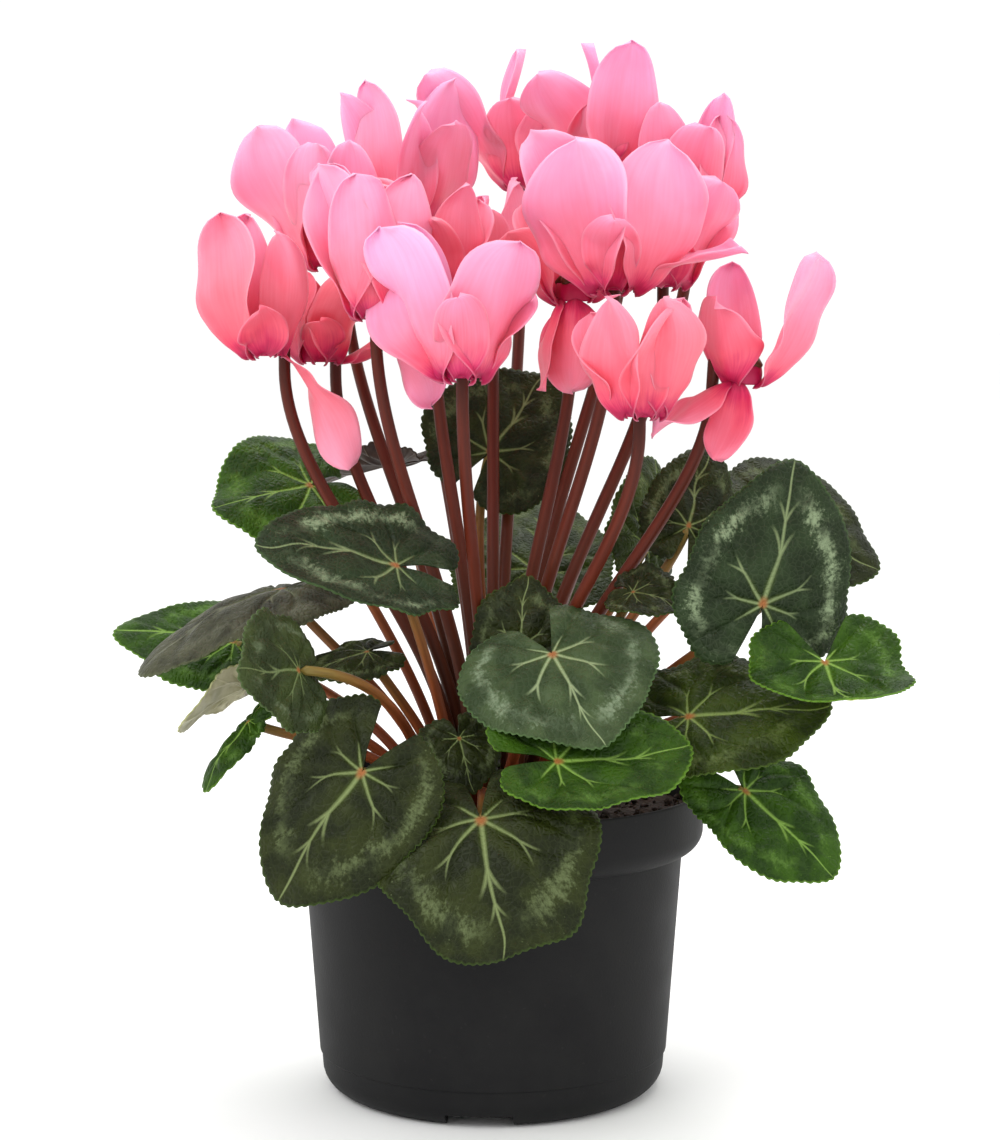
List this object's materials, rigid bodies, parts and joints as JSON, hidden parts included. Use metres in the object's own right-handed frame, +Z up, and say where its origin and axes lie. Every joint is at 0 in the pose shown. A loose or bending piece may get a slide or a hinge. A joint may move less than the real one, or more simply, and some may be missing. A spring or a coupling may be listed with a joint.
{
  "type": "potted cyclamen",
  "caption": "Flowering cyclamen with marbled heart-shaped leaves and pink upswept petals, growing from a tuber in a round nursery pot.",
  "frame": {"origin": "on the ground at the pot's axis", "axes": "+Z up along the pot's axis, the viewer of the picture stands towards -Y and sees +X to the right"},
  "size_m": [0.2253, 0.1764, 0.3],
  "materials": {
    "pot": "satin",
    "compost": "matte",
    "tuber": "matte",
    "leaf": "satin",
    "stalk": "satin",
    "petal": "matte"
  },
  "bodies": {
    "root": {"pot": "pot", "compost": "compost", "tuber": "tuber", "leaf_front_left_low": "leaf", "leaf_front_centre_low": "leaf", "leaf_front_centre": "leaf", "leaf_front_right_low": "leaf", "leaf_right_low": "leaf", "leaf_right_upright": "leaf", "leaf_right_twin_lobed": "leaf", "leaf_right_hanging": "leaf", "leaf_right_back_high": "leaf", "leaf_back_right_small": "leaf", "leaf_centre_right_small": "leaf", "leaf_back_centre_high": "leaf", "leaf_left_large": "leaf", "leaf_left_back_wavy": "leaf", "leaf_back_left_folded": "leaf", "leaf_left_outer": "leaf", "leaf_left_drooping": "leaf", "leaf_left_front_oval": "leaf", "leaf_left_pale": "leaf", "leaf_left_curled_small": "leaf", "leaf_left_inner_dark": "leaf", "leaf_back_right_tall": "leaf", "leaf_back_centre": "leaf", "leaf_centre_dark": "leaf", "leaf_front_inner_dark": "leaf", "stalk_front_centre": "stalk", "stalk_right_front_high": "stalk", "stalk_front_right": "stalk", "stalk_left_outer": "stalk", "stalk_left_front": "stalk", "stalk_left_high": "stalk", "stalk_left_inner": "stalk", "stalk_back_left_high": "stalk", "stalk_centre_left": "stalk", "stalk_centre": "stalk", "stalk_back_centre_high": "stalk", "stalk_back_right_high": "stalk", "stalk_right_back_high": "stalk", "stalk_right_high": "stalk", "stalk_right_outer": "stalk", "stalk_centre_right": "stalk", "corolla_front_centre": "petal", "corolla_right_front_high": "petal", "corolla_front_right": "petal", "corolla_left_outer": "petal", "corolla_left_front": "petal", "corolla_left_high": "petal", "corolla_left_inner": "petal", "corolla_back_left_high": "petal", "corolla_centre_left": "petal", "corolla_centre": "petal", "corolla_back_centre_high": "petal", "corolla_back_right_high": "petal", "corolla_right_back_high": "petal", "corolla_right_high": "petal", "corolla_right_outer": "petal", "corolla_centre_right": "petal"}
  },
  "joints": []
}
